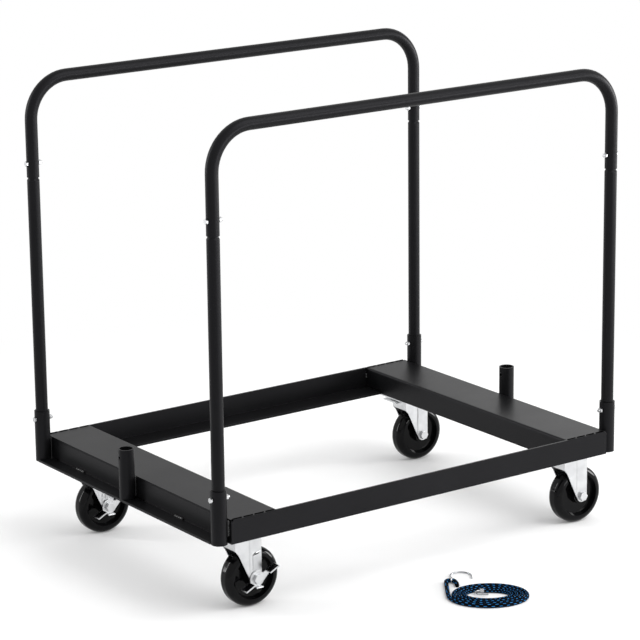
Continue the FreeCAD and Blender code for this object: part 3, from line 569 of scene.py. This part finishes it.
def trimBrakes(setup):
    treads = [modelTread(setup, along) for along in setup["treads"]]
    lip = modelLip(setup)
    leaf = modelLeaf(setup)
    for side, sign in (("front_left", -1), ("rear_left", 1)):
        x, y, z = setup["axle"]
        spot = Matrix.Translation((x, sign * y, z))
        tilted = spot @ Matrix.Rotation(-radians(setup["tilt"]), 4, "Y")
        for tread, end in zip(treads, ("upper", "lower")):
            copyOnto(tread, "tread_" + end + "_" + side, tilted, "brake_" + side, "black_wheel")
        copyOnto(lip, "brake_lip_" + side, spot, "brake_" + side, "zinc_plate")
        copyOnto(leaf, "brake_leaf_" + side, spot, "swivel_" + side, "zinc_plate")
    for thing in treads + [lip, leaf]:
        bpy.data.objects.remove(thing)
    print("brakes trimmed")


trimBrakes(brakeSetup)


# pale floor and soft studio light

studio = {
    "floorSize": 30,
    "floorColour": "#fafafa",
    "fadeStart": 0.75,       # metres from the middle, where the floor begins to fade to plain white
    "fadeEnd": 1.8,
    "worldLight": 0.85,
    "aim": (0, 0, 0.4),      # where the lamps point
    "lamps": {               # watts, place, then width and height of the panel
        "key": {"power": 55, "place": (1.0, -2.4, 3.8), "size": (2.4, 2.4)},
        "front": {"power": 90, "place": (2.6, -4.9, 0.38), "size": (3.6, 0.65)},
        "frontHigh": {"power": 32, "place": (2.4, -3.6, 2.9), "size": (2.2, 1.0)},
        "right": {"power": 190, "place": (5.2, -2.2, 0.9), "size": (1.8, 1.8)},
        "back": {"power": 10, "place": (4.4, 3.6, 2.0), "size": (2.0, 2.0)},
        "left": {"power": 80, "place": (-3.6, 3.4, 1.7), "size": (0.6, 3.0)},
    },
}


def seenRays(tree):
    # rays on which floor and backdrop show as plain white: from the camera, off gloss and through glass
    rays = addNode(tree, "ShaderNodeLightPath")
    either = addNode(tree, "ShaderNodeMath", {"operation": "MAXIMUM"})
    tree.links.new(rays.outputs["Is Camera Ray"], either.inputs[0])
    tree.links.new(rays.outputs["Is Glossy Ray"], either.inputs[1])
    seen = addNode(tree, "ShaderNodeMath", {"operation": "MAXIMUM"})
    tree.links.new(either.outputs["Value"], seen.inputs[0])
    tree.links.new(rays.outputs["Is Transmission Ray"], seen.inputs[1])
    return seen.outputs["Value"]


def studioFloor(setup):
    deselectAll()
    bpy.ops.mesh.primitive_plane_add(size=setup["floorSize"])
    floor = bpy.context.object
    floor.name = "floor"
    # matt white floor: even and pale, keeps the shadow and fades to plain white away from the cart
    material, tree, skin = newMaterial("matt_white_floor")
    skin.inputs["Base Color"].default_value = hexColour(setup["floorColour"])
    skin.inputs["Roughness"].default_value = 0.9
    skin.inputs["Specular IOR Level"].default_value = 0.1
    place = addNode(tree, "ShaderNodeTexCoord").outputs["Object"]
    reach = addNode(tree, "ShaderNodeVectorMath", {"operation": "LENGTH"})
    tree.links.new(place, reach.inputs[0])
    fade = addNode(tree, "ShaderNodeMapRange", {
        "interpolation_type": "SMOOTHSTEP", "From Min": setup["fadeStart"], "From Max": setup["fadeEnd"]},
        {"Value": reach.outputs["Value"]})
    share = addNode(tree, "ShaderNodeMath", {"operation": "MULTIPLY"})
    tree.links.new(fade.outputs["Result"], share.inputs[0])
    tree.links.new(seenRays(tree), share.inputs[1])
    glow = addNode(tree, "ShaderNodeEmission", {"Color": (1, 1, 1, 1), "Strength": 1.0})
    mix = addNode(tree, "ShaderNodeMixShader", links={"Fac": share.outputs["Value"]})
    tree.links.new(skin.outputs["BSDF"], mix.inputs[1])
    tree.links.new(glow.outputs["Emission"], mix.inputs[2])
    tree.links.new(mix.outputs["Shader"], tree.nodes["Material Output"].inputs["Surface"])
    paint(floor, material)


def studioLight(setup):
    world = bpy.data.worlds.new("studio")
    world.use_nodes = True
    tree = world.node_tree
    backdrop = tree.nodes["Background"]
    strength = addNode(tree, "ShaderNodeMapRange", {"To Min": setup["worldLight"], "To Max": 1.0},
                       {"Value": seenRays(tree)})
    tree.links.new(strength.outputs["Result"], backdrop.inputs["Strength"])
    backdrop.inputs["Color"].default_value = (1, 1, 1, 1)
    scene.world = world
    for name, lampSetup in setup["lamps"].items():
        data = bpy.data.lights.new(name, "AREA")
        data.energy = lampSetup["power"]
        data.shape = "RECTANGLE"
        data.size, data.size_y = lampSetup["size"]
        lamp = bpy.data.objects.new(name, data)
        lamp.location = lampSetup["place"]
        sight = Vector(setup["aim"]) - lamp.location
        lamp.rotation_euler = sight.to_track_quat("-Z", "Y").to_euler()
        scene.collection.objects.link(lamp)


studioFloor(studio)
studioLight(studio)
print("studio lit")
